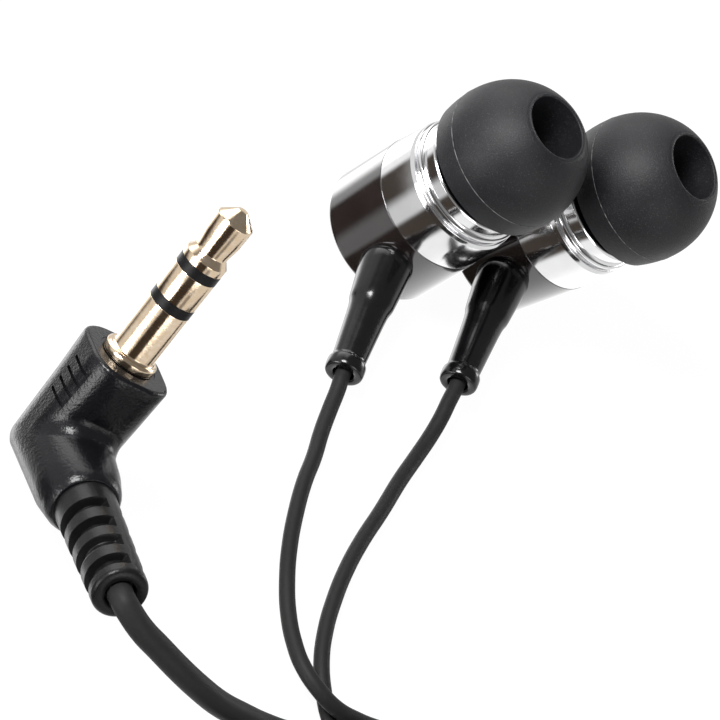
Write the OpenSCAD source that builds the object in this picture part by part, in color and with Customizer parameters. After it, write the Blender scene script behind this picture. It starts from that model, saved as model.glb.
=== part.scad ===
// Wired in-ear earphones: two upright earpieces, ear cords, cord splitter, main cord and right-angle 3.5 mm plug.
// Frame: +Z up from the table, origin midway between the earpieces; the stems run towards -Y.

/* [Earpiece shell] */
// Height of the rear shell, where the chrome barrel starts
rear_h = 6.7; // [6.2:0.1:7.6]
// Wall of the rear shell
rear_wall = 0.75; // [0.6:0.05:0.9]
// Radius of the rear shell's bottom edge
rear_edge = 0.6; // [0.2:0.1:0.9]
// Length of the chrome barrel
barrel_h = 3.8; // [3.4:0.1:4.6]
// Depth of the barrel's spigot inside the rear shell
spigot_h = 1.0; // [0.7:0.1:1.3]
// Wall of the spigot, between the driver and the rear shell
spigot_wall = 0.4; // [0.3:0.05:0.5]
// Radius of the barrel's front end beyond the driver's radius
barrel_shoulder = 0.93; // [0.85:0.01:1.05]

/* [Nozzle] */
// Height of the nose from the barrel to the shoulder under the ear tip
nose_h = 2.9; // [2.6:0.1:3.4]
// Radius of the raised bead next to the barrel
bead_r = 5.45; // [5.25:0.05:5.5]
// Length of the sound tube
tube_h = 3.5; // [3:0.1:4.2]
// Outer radius of the sound tube
tube_r = 2.3; // [2.1:0.05:2.35]
// Radius of the barb that holds the ear tip
barb_r = 2.62; // [2.5:0.02:2.8]
// Radius of the sound bore
sound_r = 1.6; // [1.3:0.05:1.7]

/* [Ear tip] */
// Largest radius of the ear tip, at its parting line
tip_r = 6.1; // [5.9:0.05:6.6]
// Height of the parting line above the tip's rear rim
skirt_h = 2.1; // [1.6:0.1:2.4]
// Height of the dome above the parting line
dome_h = 5.7; // [4.8:0.1:6]
// Thickness of the soft skirt
skirt_wall = 0.45; // [0.35:0.05:0.6]
// Wall of the tip's inner sleeve
core_wall = 0.65; // [0.5:0.05:0.8]

/* [Driver] */
// Outer radius of the driver
driver_r = 4.6; // [4.5:0.02:4.65]
// Outer radius of the steel yoke
yoke_r = 3.15; // [3:0.05:3.3]
// Wall of the yoke
yoke_wall = 0.4; // [0.3:0.05:0.5]
// Height of the magnet
magnet_h = 1.1; // [0.8:0.1:1.3]
// Thickness of the diaphragm
film_t = 0.12; // [0.08:0.02:0.16]

/* [Stem] */
// Length of the stem from the rear shell to its end
stem_len = 11.1; // [10:0.1:12.5]
// Height of the stem's axis where it meets the rear shell
stem_root_z = 3.3; // [3.1:0.05:3.4]
// Slope of the stem towards the table, degrees
stem_drop = 8.5; // [7.5:0.1:8.6]
// Turn of both stems towards +X, degrees
stem_turn = 7; // [0:0.1:9]
// Radius of the ring at the end of the stem
stem_ring_r = 1.6; // [1.5:0.02:1.62]
// Length of the stiff sleeve on the stem
stem_sleeve = 4.2; // [3.6:0.1:5]

/* [Layout] */
// Distance between the two earpieces' rear faces along X
bud_dx = 9.05; // [8.9:0.05:10]
// Distance between the two earpieces' rear faces along Y
bud_dy = 7.55; // [7.4:0.05:8.5]
// Lean of the right earpiece towards +X, degrees
right_lean = 9; // [0:0.5:10]

/* [Plug] */
// Radius of the plug's contact pin
pin_r = 1.75; // [1.74:0.01:1.76]
// Length of the contact pin
pin_len = 14; // [13.8:0.1:14.2]
// Radius of the collar under the pin
collar_r = 2.2; // [2:0.05:2.4]
// Thickness of the collar
collar_h = 0.76; // [0.6:0.02:1]
// Half width of the plug body across its two flat sides
flat_f = 3.45; // [3.3:0.05:3.7]
// Half width of the plug body at the pin end
head_w = 3.6; // [3.5:0.05:4]
// Half width of the plug body at the elbow
elbow_w = 3.1; // [3:0.05:3.4]
// Distance from the collar's front to the cord's axis
elbow_drop = 9.45; // [9.2:0.05:10.2]
// Distance from the pin's axis to the rounded end of the body's barrel
barrel_b = 7; // [6.8:0.05:7.4]
// Length of the ribbed boot
boot_len = 10.7; // [10:0.1:11.5]
// Radius of the boot's ribs
rib_r = 2.15; // [2.1:0.05:2.4]
// Lean of the plug from upright, degrees
plug_lean = 28.1; // [27:0.1:29]

/* [Cords] */
// Diameter of each ear cord
ear_d = 1.3; // [1.2:0.05:1.4]
// Diameter of the main cord
main_d = 2; // [1.9:0.05:2.1]
// Turns in the main cord's coil
main_turns = 10.25; // [9.25:1:11.25]
// Turns in the ear cords' coil
ear_turns = 5.25; // [4.25:1:5.25]
// Length of the cord splitter
split_len = 14; // [12:0.5:14]
// Thickness of the cord splitter
split_t = 3.5; // [3.2:0.1:4]

/* [Hidden] */
$fn = 64;

fit = 0.05;                    // clearance of pieces that are pressed or bonded together
tiny = 0.01;                   // overlap of cutting shapes

// Heights along the earpiece's axis
rear_floor = 1;
barrel_top = rear_h + barrel_h;
nose_top = barrel_top + nose_h;
tube_top = nose_top + tube_h;
rear_in_r = driver_r + spigot_wall + 2 * fit;
rear_r = rear_in_r + rear_wall;
barrel_front_r = driver_r + barrel_shoulder;
lip_h = 1.2;                   // lip at the barrel's front, which the driver and the nozzle seat on
lip_r = driver_r - 0.4;
driver_top = barrel_top - lip_h - fit;
driver_h = 2.85;
plate_t = 0.5;                 // floor of the driver's frame
driver_z = driver_top - driver_h;
yoke_z = driver_z - 0.8;
yoke_in = yoke_r - yoke_wall;
magnet_z = yoke_z + plate_t;
top_plate_t = 0.45;
coil_gap = 0.15;               // air gap on each side of the voice coil
coil_t = 0.15;
coil_r = yoke_in - coil_gap;   // outer radius of the voice coil
film_z = driver_z + 1.9;       // underside of the diaphragm
mesh_t = 0.15;
tip_z = nose_top + 0.1;        // rear rim of the ear tip
tip_bore = barb_r + fit;
dome_end = 61.5;               // angle at which the tip's dome ends at the hole

// Places of the two earpieces. The right one stands behind and beside the left one and leans
// on the edge of its rear shell. The origin is under the middle of the box round both.
stem_reach = rear_r + stem_len * cos(stem_drop) * cos(stem_turn)
    + stem_ring_r * norm([sin(stem_drop), sin(stem_turn)]);
lean_lift = (rear_r - rear_edge) * sin(right_lean) + rear_edge * (1 - cos(right_lean));
crown = dome_h / sin(dome_end);
lean_reach = (tip_z + skirt_h) * sin(right_lean) + norm([tip_r * cos(right_lean), crown * sin(right_lean)]);
left_at = [(tip_r - lean_reach - bud_dx) / 2, (stem_reach - tip_r - bud_dy) / 2, 0];
right_at = left_at + [bud_dx, bud_dy, lean_lift];
table = left_at + [6.15, -1.15, 0];  // shift of the table's own marks, such as the cords' routes

function mix(a, b, t) = a + (b - a) * t;
function unit(v) = v / norm(v);
function smooth(x) = let (t = max(0, min(1, x))) t * t * (3 - 2 * t);
function arc(c, r, a0, a1, n) = [for (i = [0:n]) let (a = mix(a0, a1, i / n)) c + r * [cos(a), sin(a)]];

// ---------------------------------------------------------------- lofts and tubes

// One closed solid through rings that have the same number of points
module loft(rings) {
    m = len(rings[0]);
    n = len(rings);
    polyhedron(
        points = [for (r = rings) each r],
        faces = concat(
            [for (j = [1:m - 2]) [0, j, j + 1]],
            [for (j = [1:m - 2]) [(n - 1) * m, (n - 1) * m + j + 1, (n - 1) * m + j]],
            [for (i = [0:n - 2], j = [0:m - 1]) let (k = (j + 1) % m)
                each [[i * m + j, (i + 1) * m + j, (i + 1) * m + k],
                      [i * m + j, (i + 1) * m + k, i * m + k]]]));
}

// Direction of a path at its point i
function heading(p, i) = unit(p[min(i + 1, len(p) - 1)] - p[max(i - 1, 0)]);

// A round tube swept along a path that never runs upright
module tube(path, d, sides) {
    loft([for (i = [0:len(path) - 1])
        let (t = heading(path, i), s = unit(cross(t, [0, 0, 1])), u = cross(s, t))
        [for (j = [0:sides - 1]) let (a = 360 * (j + 0.5) / sides)
            path[i] + d / 2 * (cos(a) * s + sin(a) * u)]]);
}

// Outline of a rounded rectangle of half sizes w and f, n points a corner
function round_rect(w, f, r, n) = [
    for (q = [0:3])
        let (c = [(q == 0 || q == 3 ? 1 : -1) * (w - r), (q < 2 ? 1 : -1) * (f - r)])
        each arc(c, r, 90 * q, 90 * q + 90, n - 1)
];

// ---------------------------------------------------------------- earpiece

module rear_housing() color([0.05, 0.045, 0.05]) difference() {
    rotate_extrude() polygon(concat(
        [[0, 0]],
        arc([rear_r - rear_edge, rear_edge], rear_edge, -90, 0, 8),
        [[rear_r, rear_h], [rear_in_r, rear_h], [rear_in_r, rear_floor], [0, rear_floor]]));
    stem_frame() cylinder(h = 2 * rear_r, r = stem_neck_r + fit, center = true);
}

module front_housing() color([0.86, 0.86, 0.87]) rotate_extrude() polygon([
    [driver_r + fit, rear_h - spigot_h], [rear_in_r - fit, rear_h - spigot_h], [rear_in_r - fit, rear_h],
    [rear_r - 0.02, rear_h], [barrel_front_r + 0.12, barrel_top - 0.4], [barrel_front_r, barrel_top],
    [lip_r, barrel_top], [lip_r, barrel_top - lip_h], [driver_r + fit, barrel_top - lip_h]]);

module nozzle() color([0.8, 0.8, 0.82]) rotate_extrude() polygon(concat(
    [[sound_r, barrel_top - 0.8], [lip_r - fit, barrel_top - 0.8], [lip_r - fit, barrel_top],
     [bead_r - 0.3, barrel_top], [bead_r - 0.3, barrel_top + 0.2]],
    arc([bead_r - 0.22, barrel_top + 0.45], 0.22, -90, 90, 6),
    [[bead_r - 0.35, barrel_top + 0.8], [bead_r - 0.35, barrel_top + 0.95]],
    arc([bead_r - 0.75, nose_top - 1.3], 0.6, 30, 70, 4),
    [[tube_r + 1.6, nose_top], [tube_r, nose_top], [tube_r, tube_top - 1.6],
     [barb_r, tube_top - 1.6], [barb_r, tube_top - 1.2], [tube_r - 0.05, tube_top],
     [sound_r + 0.3, tube_top], [sound_r + 0.3, tube_top - 0.4], [sound_r, tube_top - 0.4]]));

module nozzle_mesh() color([0.55, 0.55, 0.56])
    translate([0, 0, tube_top - 0.4]) cylinder(h = mesh_t, r = sound_r + 0.3 - fit);

// Outer outline of the ear tip, from its rear rim over the dome to the hole
function tip_outline(shrink, n) = concat(
    [for (i = [0:4]) let (t = i / 4) [tip_r - 0.2 * (1 - t) * (1 - t) - shrink, tip_z + skirt_h * t]],
    [for (i = [1:n]) let (a = dome_end * i / n)
        [(tip_r - shrink) * cos(a), tip_z + skirt_h + (dome_h - shrink) / sin(dome_end) * sin(a)]]);

module ear_tip() color([0.13, 0.13, 0.135]) {
    out = tip_outline(0, 12);
    core = tip_bore + core_wall;
    inside = [for (p = tip_outline(skirt_wall, 12)) if (p[0] > core + 0.5) p];
    deep = inside[len(inside) - 1];
    rotate_extrude() polygon(concat(
        [for (i = [len(inside) - 1:-1:0]) inside[i]],
        out,
        [[tip_bore + 0.12, tip_z + skirt_h + dome_h], [tip_bore, tip_z + skirt_h + dome_h - 0.15],
         [tip_bore, tip_z], [core, tip_z], [core, deep[1] - 0.6], [core + 0.25, deep[1]]]));
}

// ---------------------------------------------------------------- driver

module driver_frame() color([0.2, 0.2, 0.21]) difference() {
    rotate_extrude() polygon([
        [yoke_r + fit, driver_z], [driver_r, driver_z], [driver_r, driver_top],
        [driver_r - 0.35, driver_top], [driver_r - 0.35, film_z - 0.3], [driver_r - 0.75, film_z - 0.3],
        [driver_r - 0.75, driver_z + plate_t], [yoke_r + fit, driver_z + plate_t]]);
    for (a = [30:60:330])
        rotate([0, 0, a]) translate([(yoke_r + driver_r) / 2 - 0.15, 0, driver_z - tiny])
            cylinder(h = plate_t + 2 * tiny, r = 0.25, $fn = 16);
}

module driver_yoke() color([0.62, 0.63, 0.65]) rotate_extrude() polygon([
    [0, yoke_z], [yoke_r, yoke_z], [yoke_r, magnet_z + magnet_h + top_plate_t],
    [yoke_in, magnet_z + magnet_h + top_plate_t], [yoke_in, magnet_z], [0, magnet_z]]);

module driver_magnet() color([0.45, 0.45, 0.47])
    translate([0, 0, magnet_z]) cylinder(h = magnet_h, r = coil_r - coil_t - coil_gap - 0.1);

module driver_top_plate() color([0.7, 0.7, 0.72])
    translate([0, 0, magnet_z + magnet_h]) cylinder(h = top_plate_t, r = coil_r - coil_t - coil_gap);

module voice_coil() color([0.72, 0.42, 0.2]) rotate_extrude() polygon([
    [coil_r - coil_t, magnet_z + 0.6], [coil_r, magnet_z + 0.6], [coil_r, film_z], [coil_r - coil_t, film_z]]);

module diaphragm() color([0.75, 0.75, 0.78]) {
    roll_r = (driver_r - 0.45 - coil_r) / 2;
    roll_at = [coil_r + roll_r, film_z];
    dome = [for (i = [0:6]) let (t = i / 6) [coil_r * t, film_z + 0.5 * (1 - t * t)]];
    roll = [for (i = [1:7]) let (a = 180 - 180 * i / 8) roll_at + [roll_r * cos(a), 0.3 * sin(a)]];
    line = concat(dome, roll, [[driver_r - 0.45, film_z]]);
    rotate_extrude() polygon(concat(
        line, [for (i = [len(line) - 1:-1:0]) line[i] + [0, film_t]]));
}

module rear_damper() color([0.85, 0.83, 0.78]) translate([0, 0, driver_z - 0.2]) difference() {
    cylinder(h = 0.2, r = driver_r - 0.1);
    translate([0, 0, -tiny]) cylinder(h = 1, r = yoke_r + 0.1);
}

// ---------------------------------------------------------------- stem

stem_neck_r = 1.3;
stem_step = 0.17;              // step between the stiff sleeve and the flexible part
ring_len = 1.3;
flange_t = 1.1;                // flange inside the rear shell, which holds the stem in its hole
hole_depth = 1;
hole_r = ear_d / 2 + 0.2;

// Frame at the stem's root, +Z along the stem away from the shell, +Y towards the table
module stem_frame() translate([0, -rear_r, stem_root_z])
    rotate([0, 0, stem_turn]) rotate([90 + stem_drop, 0, 0]) children();

module oval(z, w, h) translate([0, 0, z]) linear_extrude(0.02) scale([w / 2, h / 2]) circle(1, $fn = 32);

module stem() color([0.045, 0.045, 0.05]) difference() {
    union() {
        difference() {
            stem_frame() {
                hull() {
                    oval(-1, 4.35, 4.6);
                    oval(stem_sleeve * 0.55, 4, 4.05);
                    oval(stem_sleeve, 3.7, 3.6);
                }
                hull() {
                    oval(stem_sleeve - 0.2, 3.7 - 2 * stem_step, 3.6 - 2 * stem_step);
                    oval(stem_len - ring_len / 2, 2.7, 2.7);
                }
            }
            cylinder(h = 3 * rear_h, r = rear_r + 0.03, center = true);
        }
        stem_frame() {
            translate([0, 0, stem_len - ring_len]) rotate_extrude() polygon(concat(
                [[0, 0]],
                arc([stem_ring_r - 0.3, 0.3], 0.3, -90, 0, 5),
                arc([stem_ring_r - 0.4, ring_len - 0.4], 0.4, 0, 90, 5),
                [[0, ring_len]]));
            translate([0, 0, -rear_wall - flange_t]) cylinder(h = rear_wall + 2 * flange_t, r = stem_neck_r);
        }
        intersection() {
            stem_frame() translate([0, 0, -rear_wall - flange_t]) cylinder(h = flange_t, r = stem_neck_r + 0.4);
            cylinder(h = 3 * rear_h, r = rear_in_r - fit, center = true);
        }
    }
    stem_frame() translate([0, 0, stem_len - hole_depth]) cylinder(h = 2, r = hole_r);
}

// ---------------------------------------------------------------- plug

// The plug's own frame: +Z along the pin, +X along the cord, origin at the collar's front
heel_r = 0.8;                  // bend radius at the outside of the elbow
throat_r = 1.2;                // bend radius at the inside of the elbow
plug_heading = -69.2;
plug_at = table + [-26, -40.1, elbow_drop * cos(plug_lean)
    + (elbow_w - heel_r) * (sin(plug_lean) + cos(plug_lean)) + heel_r + 0.02];
tip_len = 5.3;                 // tip contact, with its flange
band_len = 0.8;                // each black insulating band
ring_band = 2.5;               // middle contact
boot_b = barrel_b + 1;         // where the boot starts
root_grow = 0.22;              // radius of the boot's root beyond its end
groove_n = 4;
groove_w = 1.12;
groove_pitch = 2.24;
end_ring = 1.05;
core_r = 1.6;
root_r = 1.4;                  // pin's root inside the body

module plug_frame() translate(plug_at) rotate([0, 0, plug_heading]) rotate([0, -plug_lean, 0]) children();

module pipe(z0, z1, r_in, r_out) rotate_extrude()
    polygon([[r_in, z0], [r_out, z0], [r_out, z1], [r_in, z1]]);

sleeve_len = pin_len - tip_len - 2 * band_len - ring_band;
rod_r = 0.55;

module tip_contact() color([0.85, 0.68, 0.38]) {
    z = pin_len - tip_len;
    rotate_extrude() polygon([
        [0, -2.6], [rod_r, -2.6], [rod_r, z], [pin_r, z], [pin_r, z + 0.9], [pin_r - 0.15, z + 1.15],
        [1.3, z + 1.7], [1.3, z + 2], [pin_r - 0.22, z + 4.3], [pin_r - 0.22, z + 4.6], [0.3, pin_len],
        [0, pin_len]]);
}

module front_insulator() color([0.06, 0.06, 0.065]) {
    z = pin_len - tip_len;
    pipe(z - band_len, z, rod_r, pin_r);
    pipe(-2.4, z - band_len, rod_r, rod_r + 0.25);
}

module ring_contact() color([0.8, 0.7, 0.5]) {
    z = sleeve_len + band_len;
    pipe(z, z + ring_band, rod_r + 0.25, pin_r);
    pipe(-2.2, z, rod_r + 0.25, rod_r + 0.45);
}

module rear_insulator() color([0.06, 0.06, 0.065]) {
    pipe(sleeve_len, sleeve_len + band_len, rod_r + 0.45, pin_r);
    pipe(-2, sleeve_len, rod_r + 0.45, rod_r + 0.7);
}

module sleeve_contact() color([0.85, 0.68, 0.38]) rotate_extrude() polygon([
    [rod_r + 0.7, -1.8], [root_r, -1.8], [root_r, -collar_h], [collar_r, -collar_h],
    [collar_r, -0.2], [collar_r - 0.2, 0], [pin_r + 0.12, 0], [pin_r, 0.12], [pin_r, sleeve_len],
    [rod_r + 0.7, sleeve_len]]);

// Stations of the body's loft: round the pin at height z, at a degrees round the elbow, and
// round the cord at distance b, each with its half width, half thickness and corner radius
corner_n = 5;
function pin_ring(z, w, f, r) = [for (p = round_rect(w, f, r, corner_n)) [p[0], p[1], z]];
function cord_ring(b, w, f, r) = [for (p = round_rect(w, f, r, corner_n)) [b, p[1], p[0] - elbow_drop]];
function bend_ring(a, w, f, r) = [
    for (p = round_rect(w, f, r, corner_n)) let (bend = mix(heel_r, throat_r, (p[0] + w) / (2 * w)))
        [p[0] + bend * (1 - cos(a)), p[1], p[0] - elbow_drop + bend * (1 - sin(a))]];

module plug_shell() loft(concat(
    [pin_ring(-collar_h, head_w - 0.3, flat_f - 0.3, 2.4),
     pin_ring(-collar_h - 0.12, head_w - 0.1, flat_f - 0.1, 2.45),
     pin_ring(-collar_h - 0.35, head_w, flat_f, 2.5),
     pin_ring(-4.4, mix(head_w, elbow_w, 0.5), flat_f, 2.5)],
    [for (a = [0:15:90]) bend_ring(a, elbow_w, flat_f, mix(2.4, 2.9, a / 90))],
    [cord_ring(barrel_b - 1.6, elbow_w - 0.05, flat_f - 0.15, 2.9),
     cord_ring(barrel_b, elbow_w - 0.2, flat_f - 0.5, 2.8),
     cord_ring(barrel_b + 0.5, elbow_w - 0.33, flat_f - 0.65, 2.7),
     cord_ring(barrel_b + 0.85, rib_r + 0.47, rib_r + 0.47, rib_r + 0.45),
     cord_ring(boot_b, rib_r + 0.32, rib_r + 0.32, rib_r + 0.3)]));

module plug_body() color([0.09, 0.09, 0.1]) difference() {
    plug_shell();
    translate([0, 0, -3.2]) cylinder(h = 4, r = root_r + fit);
    translate([0, 0, -collar_h - fit]) cylinder(h = 2, r = collar_r + 0.25);
    for (i = [0:3]) translate([-0.5, -flat_f - 1, -2.63 - 1.02 * i]) cube([3.1, 1.3, 0.26]);
}

module plug_boot() color([0.08, 0.08, 0.085]) {
    first = boot_len - end_ring - groove_w - (groove_n - 1) * groove_pitch;
    translate([boot_b, 0, -elbow_drop]) rotate([0, 90, 0]) difference() {
        rotate_extrude() polygon(concat(
            [[0, 0], [rib_r + root_grow, 0]],
            arc([rib_r - 0.45, boot_len - 0.45], 0.45, 0, 90, 6),
            [[0, boot_len]]));
        for (i = [0:groove_n - 1]) translate([0, 0, first + groove_pitch * i]) difference() {
            cylinder(h = groove_w, r = rib_r + 1);
            translate([0, 0, -tiny]) cylinder(h = groove_w + 2 * tiny, r = core_r);
            translate([-rib_r - 1, -0.4, -tiny]) cube([2 * rib_r + 2, 1.5, groove_w + 2 * tiny]);
        }
        translate([0, 0, boot_len - 0.8]) cylinder(h = 2, r = main_d / 2 + 0.2);
    }
}

// ---------------------------------------------------------------- cords

tie_t = 0.35;                  // thickness of the ties under the coils
layers = 4;
main_pitch = main_d + 0.5;
ear_pitch = ear_d + 0.5;
main_mid = [17 + table[0], -61.5 + table[1]];
ear_mid = [35 + table[0], -37.8 + table[1]];
main_out = 14.2;
ear_out = 9.9;
main_z = main_d / 2 + tie_t;
ear_z = ear_d / 2 + tie_t;
split_x = 44.9 + table[0];
split_y = -55 + table[1];      // the ear cords' end of the splitter

// Height of a coil's path after t turns, in layers
function climbed(t, per, j = 1) = j >= layers ? 0 : smooth((t - j * per + 0.25) * 2) + climbed(t, per, j + 1);

// Clockwise coil from its top side: it spirals in and out, and changes layer where it reverses
function coil(mid, z, out, step, per, rise, lane) = [
    for (i = [0:round(24 * layers * per)])
        let (t = i / 24, k = min(floor(t / per), layers - 1), f = t - k * per,
             r = out + lane - step * (k % 2 == 0 ? f : per - f), a = 90 - 360 * t)
        [mid[0] + r * cos(a), mid[1] + r * sin(a), z + rise * climbed(t, per)]];

function main_coil() = let (
    p = coil(main_mid, main_z + (layers - 1) * main_pitch, main_out, main_pitch, main_turns / layers,
             -main_pitch, 0), last = p[len(p) - 1])
    concat([p[0] - [main_d, 0, 0]], p, [last - [0, main_d, 0]]);

function ear_coil(lane) = let (
    p = coil(ear_mid, ear_z, ear_out, 2 * ear_pitch, ear_turns / layers, ear_pitch, lane),
    last = p[len(p) - 1])
    concat([p[0] - [ear_d, 0, 0]], p, [last - [0, ear_d, 0]]);

left_coil = ear_coil(ear_pitch / 2);
right_coil = ear_coil(-ear_pitch / 2);
big_coil = main_coil();

// Least gap of a coil to itself, half a turn or more apart, and of one coil to another
function self_gap(p, d) = min([for (i = [1:len(p) - 14], j = [i + 12:len(p) - 2]) norm(p[i] - p[j])]) - d;
function pair_gap(p, q, d) = min([for (a = p, b = q) norm(a - b)]) - d;
echo("coil gaps, mm", main = self_gap(big_coil, main_d), left = self_gap(left_coil, ear_d),
     right = self_gap(right_coil, ear_d), pair = pair_gap(left_coil, right_coil, ear_d));

function on_table(route) = [for (p = route) p + table];
function path_len(p) = len(p) < 2 ? 0 : [for (i = 1, s = norm(p[1] - p[0]); i < len(p);
    i = i + 1, s = i < len(p) ? s + norm(p[i] - p[i - 1]) : s) s][len(p) - 2];

// Where each stem's end and the boot's end let their cords out, at the bottom of the holes
function leaned(p, a) = [p[0] * cos(a) + p[2] * sin(a), p[1], p[2] * cos(a) - p[0] * sin(a)];
function stem_point(at, lean, s) = at + leaned([0, -rear_r, stem_root_z] + s * [
    sin(stem_turn) * cos(stem_drop), -cos(stem_turn) * cos(stem_drop), -sin(stem_drop)], lean);
left_exit = stem_point(left_at, 0, stem_len - hole_depth);
right_exit = stem_point(right_at, right_lean, stem_len - hole_depth);
cord_dir = [cos(plug_lean) * cos(plug_heading), cos(plug_lean) * sin(plug_heading), sin(plug_lean)];
pin_dir = [-sin(plug_lean) * cos(plug_heading), -sin(plug_lean) * sin(plug_heading), cos(plug_lean)];
boot_exit = plug_at + (boot_b + boot_len - 0.8) * cord_dir - elbow_drop * pin_dir;

left_route = [
    [-4.55, -16.9, 1.4], [-4.25, -18.9, 1], [-3.95, -21, 0.7], [-3.6, -23.6, 0.65], [-3.45, -26.4, 0.65],
    [-3, -29.5, 0.65], [-2.3, -32.6, 0.65], [-1.3, -35.5, 0.65], [0, -38.2, 0.7], [1.4, -40.6, 1.1],
    [2.6, -42.2, 1.6], [4.4, -43.35, 2.05], [6.3, -43.6, 2.1], [8.4, -43, 2.05], [10.8, -41.6, 1.6],
    [13.4, -39.9, 1.1], [16, -38.1, 0.8], [18.6, -36.1, 0.7], [21.2, -33.9, 0.7], [23.8, -31.7, 0.75],
    [26.4, -29.7, 0.85], [29.2, -28.1, 0.95], [31.4, -27.3, 1]];
right_route = [
    [4.6, -9.8, 1.9], [4.75, -11.4, 1.5], [4.8, -13.2, 1], [4.55, -15.8, 0.7], [4.1, -19, 0.65],
    [3.7, -23, 0.65], [3.2, -27, 0.65], [3, -30.4, 0.65], [3.1, -33.6, 0.65], [3.5, -36.8, 0.65],
    [4.3, -39.6, 0.65], [5.5, -41.8, 0.65], [7, -43.6, 0.65], [9, -44.7, 0.65], [11.4, -44.3, 0.65],
    [13.8, -42.8, 0.65], [16.4, -40.8, 0.65], [19, -38.7, 0.65], [21.6, -36.5, 0.65], [24.2, -34.2, 0.7],
    [26.8, -32, 0.8], [29.4, -30.2, 0.9], [31.6, -29.2, 1]];
left_tail_route = [
    [45.8, -42, 6.3], [45.8, -45, 5.4], [45.8, -48, 3.9], [45.8, -50.6, 2.5], [45.8, -52.8, 1.85]];
right_tail_route = [for (p = left_tail_route) p - [1.8, 0, 0]];
main_route = [
    [-17.5, -60.7, 13.1], [-16, -61, 12.9], [-13.9, -60.85, 12.5], [-11.5, -60.6, 12], [-9.1, -60, 11.3], [-6.7, -59, 10.4],
    [-4.4, -57.7, 9.6], [-2.2, -56.4, 8.9], [0.6, -54.6, 8.3], [3.6, -52.1, 8], [6.8, -49.8, 8.1],
    [10.2, -48, 8.5], [12.9, -47.4, 8.8]];
main_tail_route = [
    [31.3, -66.2, 1.35], [32.2, -69.4, 1.3], [34.4, -72.2, 1.3], [37.8, -73.8, 1.4], [41.2, -73.6, 1.6],
    [43.8, -72.1, 1.75]];

left_path = concat([left_exit, stem_point(left_at, 0, stem_len + 0.4)], on_table(left_route), [left_coil[0]]);
right_path = concat([right_exit, stem_point(right_at, right_lean, stem_len + 0.4)], on_table(right_route),
    [right_coil[0]]);
main_path = concat([boot_exit, boot_exit + 1.5 * cord_dir], on_table(main_route), [big_coil[0]]);
split_z = split_t / 2;
left_tail = concat([left_coil[len(left_coil) - 1]], on_table(left_tail_route),
    [[split_x + ear_pitch / 2, split_y - 0.8, split_z]]);
right_tail = concat([right_coil[len(right_coil) - 1]], on_table(right_tail_route),
    [[split_x - ear_pitch / 2, split_y - 0.8, split_z]]);
main_end = [split_x, split_y - split_len + 0.8, split_z];
main_tail = concat([big_coil[len(big_coil) - 1]], on_table(main_tail_route),
    [main_end - [0, 2.2, 0], main_end]);
echo("cord lengths, mm", left = path_len(left_path) + path_len(left_coil) + path_len(left_tail),
     right = path_len(right_path) + path_len(right_coil) + path_len(right_tail),
     main = path_len(main_path) + path_len(big_coil) + path_len(main_tail));

// Places of the two earpieces' own frames
module left() translate(left_at) children();
module right() translate(right_at) rotate([0, right_lean, 0]) children();

module cord(path, d) color([0.1, 0.1, 0.105]) tube(path, d, 8);
module wound(path, d) color([0.1, 0.1, 0.105]) tube(path, d, 6);

module cord_splitter() color([0.08, 0.08, 0.085]) {
    stations = [[0, 2, 1.3], [0.5, 2.35, 1.6], [3, 2.45, split_z], [8, 2.1, split_z], [12, 1.7, 1.65],
                [split_len - 0.4, 1.55, 1.5], [split_len, 1.35, 1.3]];
    difference() {
        loft([for (s = stations) [for (p = round_rect(s[1], s[2], s[2] - 0.1, 5))
            [split_x + p[0], split_y - s[0], split_z + p[1]]]]);
        for (s = [-1, 1]) translate([split_x + s * ear_pitch / 2, split_y + 1, split_z])
            rotate([90, 0, 0]) cylinder(h = 1.8, r = ear_d / 2 + 0.1, $fn = 24);
        translate([split_x, split_y - split_len + 0.8, split_z])
            rotate([90, 0, 0]) cylinder(h = 2, r = main_d / 2 + 0.1, $fn = 24);
    }
}

// A strap once round a coil's bundle, from radius r_in to r_out and up to height h
module tie(mid, angle, r_in, r_out, h) color([0.12, 0.12, 0.13])
    translate([mid[0], mid[1], 0]) rotate([0, 0, angle]) translate([0, 1.25, 0]) rotate([90, 0, 0])
        linear_extrude(2.5) difference() {
            translate([r_in - tie_t, 0]) square([r_out - r_in + 2 * tie_t, h + tie_t]);
            translate([r_in, tie_t]) square([r_out - r_in, h - tie_t]);
        }

main_in = main_out - main_pitch * main_turns / layers;
ear_in = ear_out - 2 * ear_pitch * ear_turns / layers;
module main_coil_tie() tie(main_mid, -45, main_in - main_d / 2 - 0.1, main_out + main_d / 2 + 0.1,
    main_z + (layers - 1) * main_pitch + main_d / 2 + 0.05);
module ear_coil_tie() tie(ear_mid, 180, ear_in - ear_pitch / 2 - ear_d / 2 - 0.1,
    ear_out + ear_pitch / 2 + ear_d / 2 + 0.1, ear_z + (layers - 1) * ear_pitch + ear_d / 2 + 0.05);

// ---------------------------------------------------------------- nodes

left() rear_housing();  // left_rear_housing
right() rear_housing();  // right_rear_housing
left() front_housing();  // left_front_housing
right() front_housing();  // right_front_housing
left() nozzle();  // left_nozzle
right() nozzle();  // right_nozzle
left() nozzle_mesh();  // left_nozzle_mesh
right() nozzle_mesh();  // right_nozzle_mesh
left() ear_tip();  // left_ear_tip
right() ear_tip();  // right_ear_tip
left() stem();  // left_stem
right() stem();  // right_stem
left() driver_frame();  // left_driver_frame
right() driver_frame();  // right_driver_frame
left() driver_yoke();  // left_driver_yoke
right() driver_yoke();  // right_driver_yoke
left() driver_magnet();  // left_driver_magnet
right() driver_magnet();  // right_driver_magnet
left() driver_top_plate();  // left_driver_top_plate
right() driver_top_plate();  // right_driver_top_plate
left() voice_coil();  // left_voice_coil
right() voice_coil();  // right_voice_coil
left() diaphragm();  // left_diaphragm
right() diaphragm();  // right_diaphragm
left() rear_damper();  // left_rear_damper
right() rear_damper();  // right_rear_damper
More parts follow.
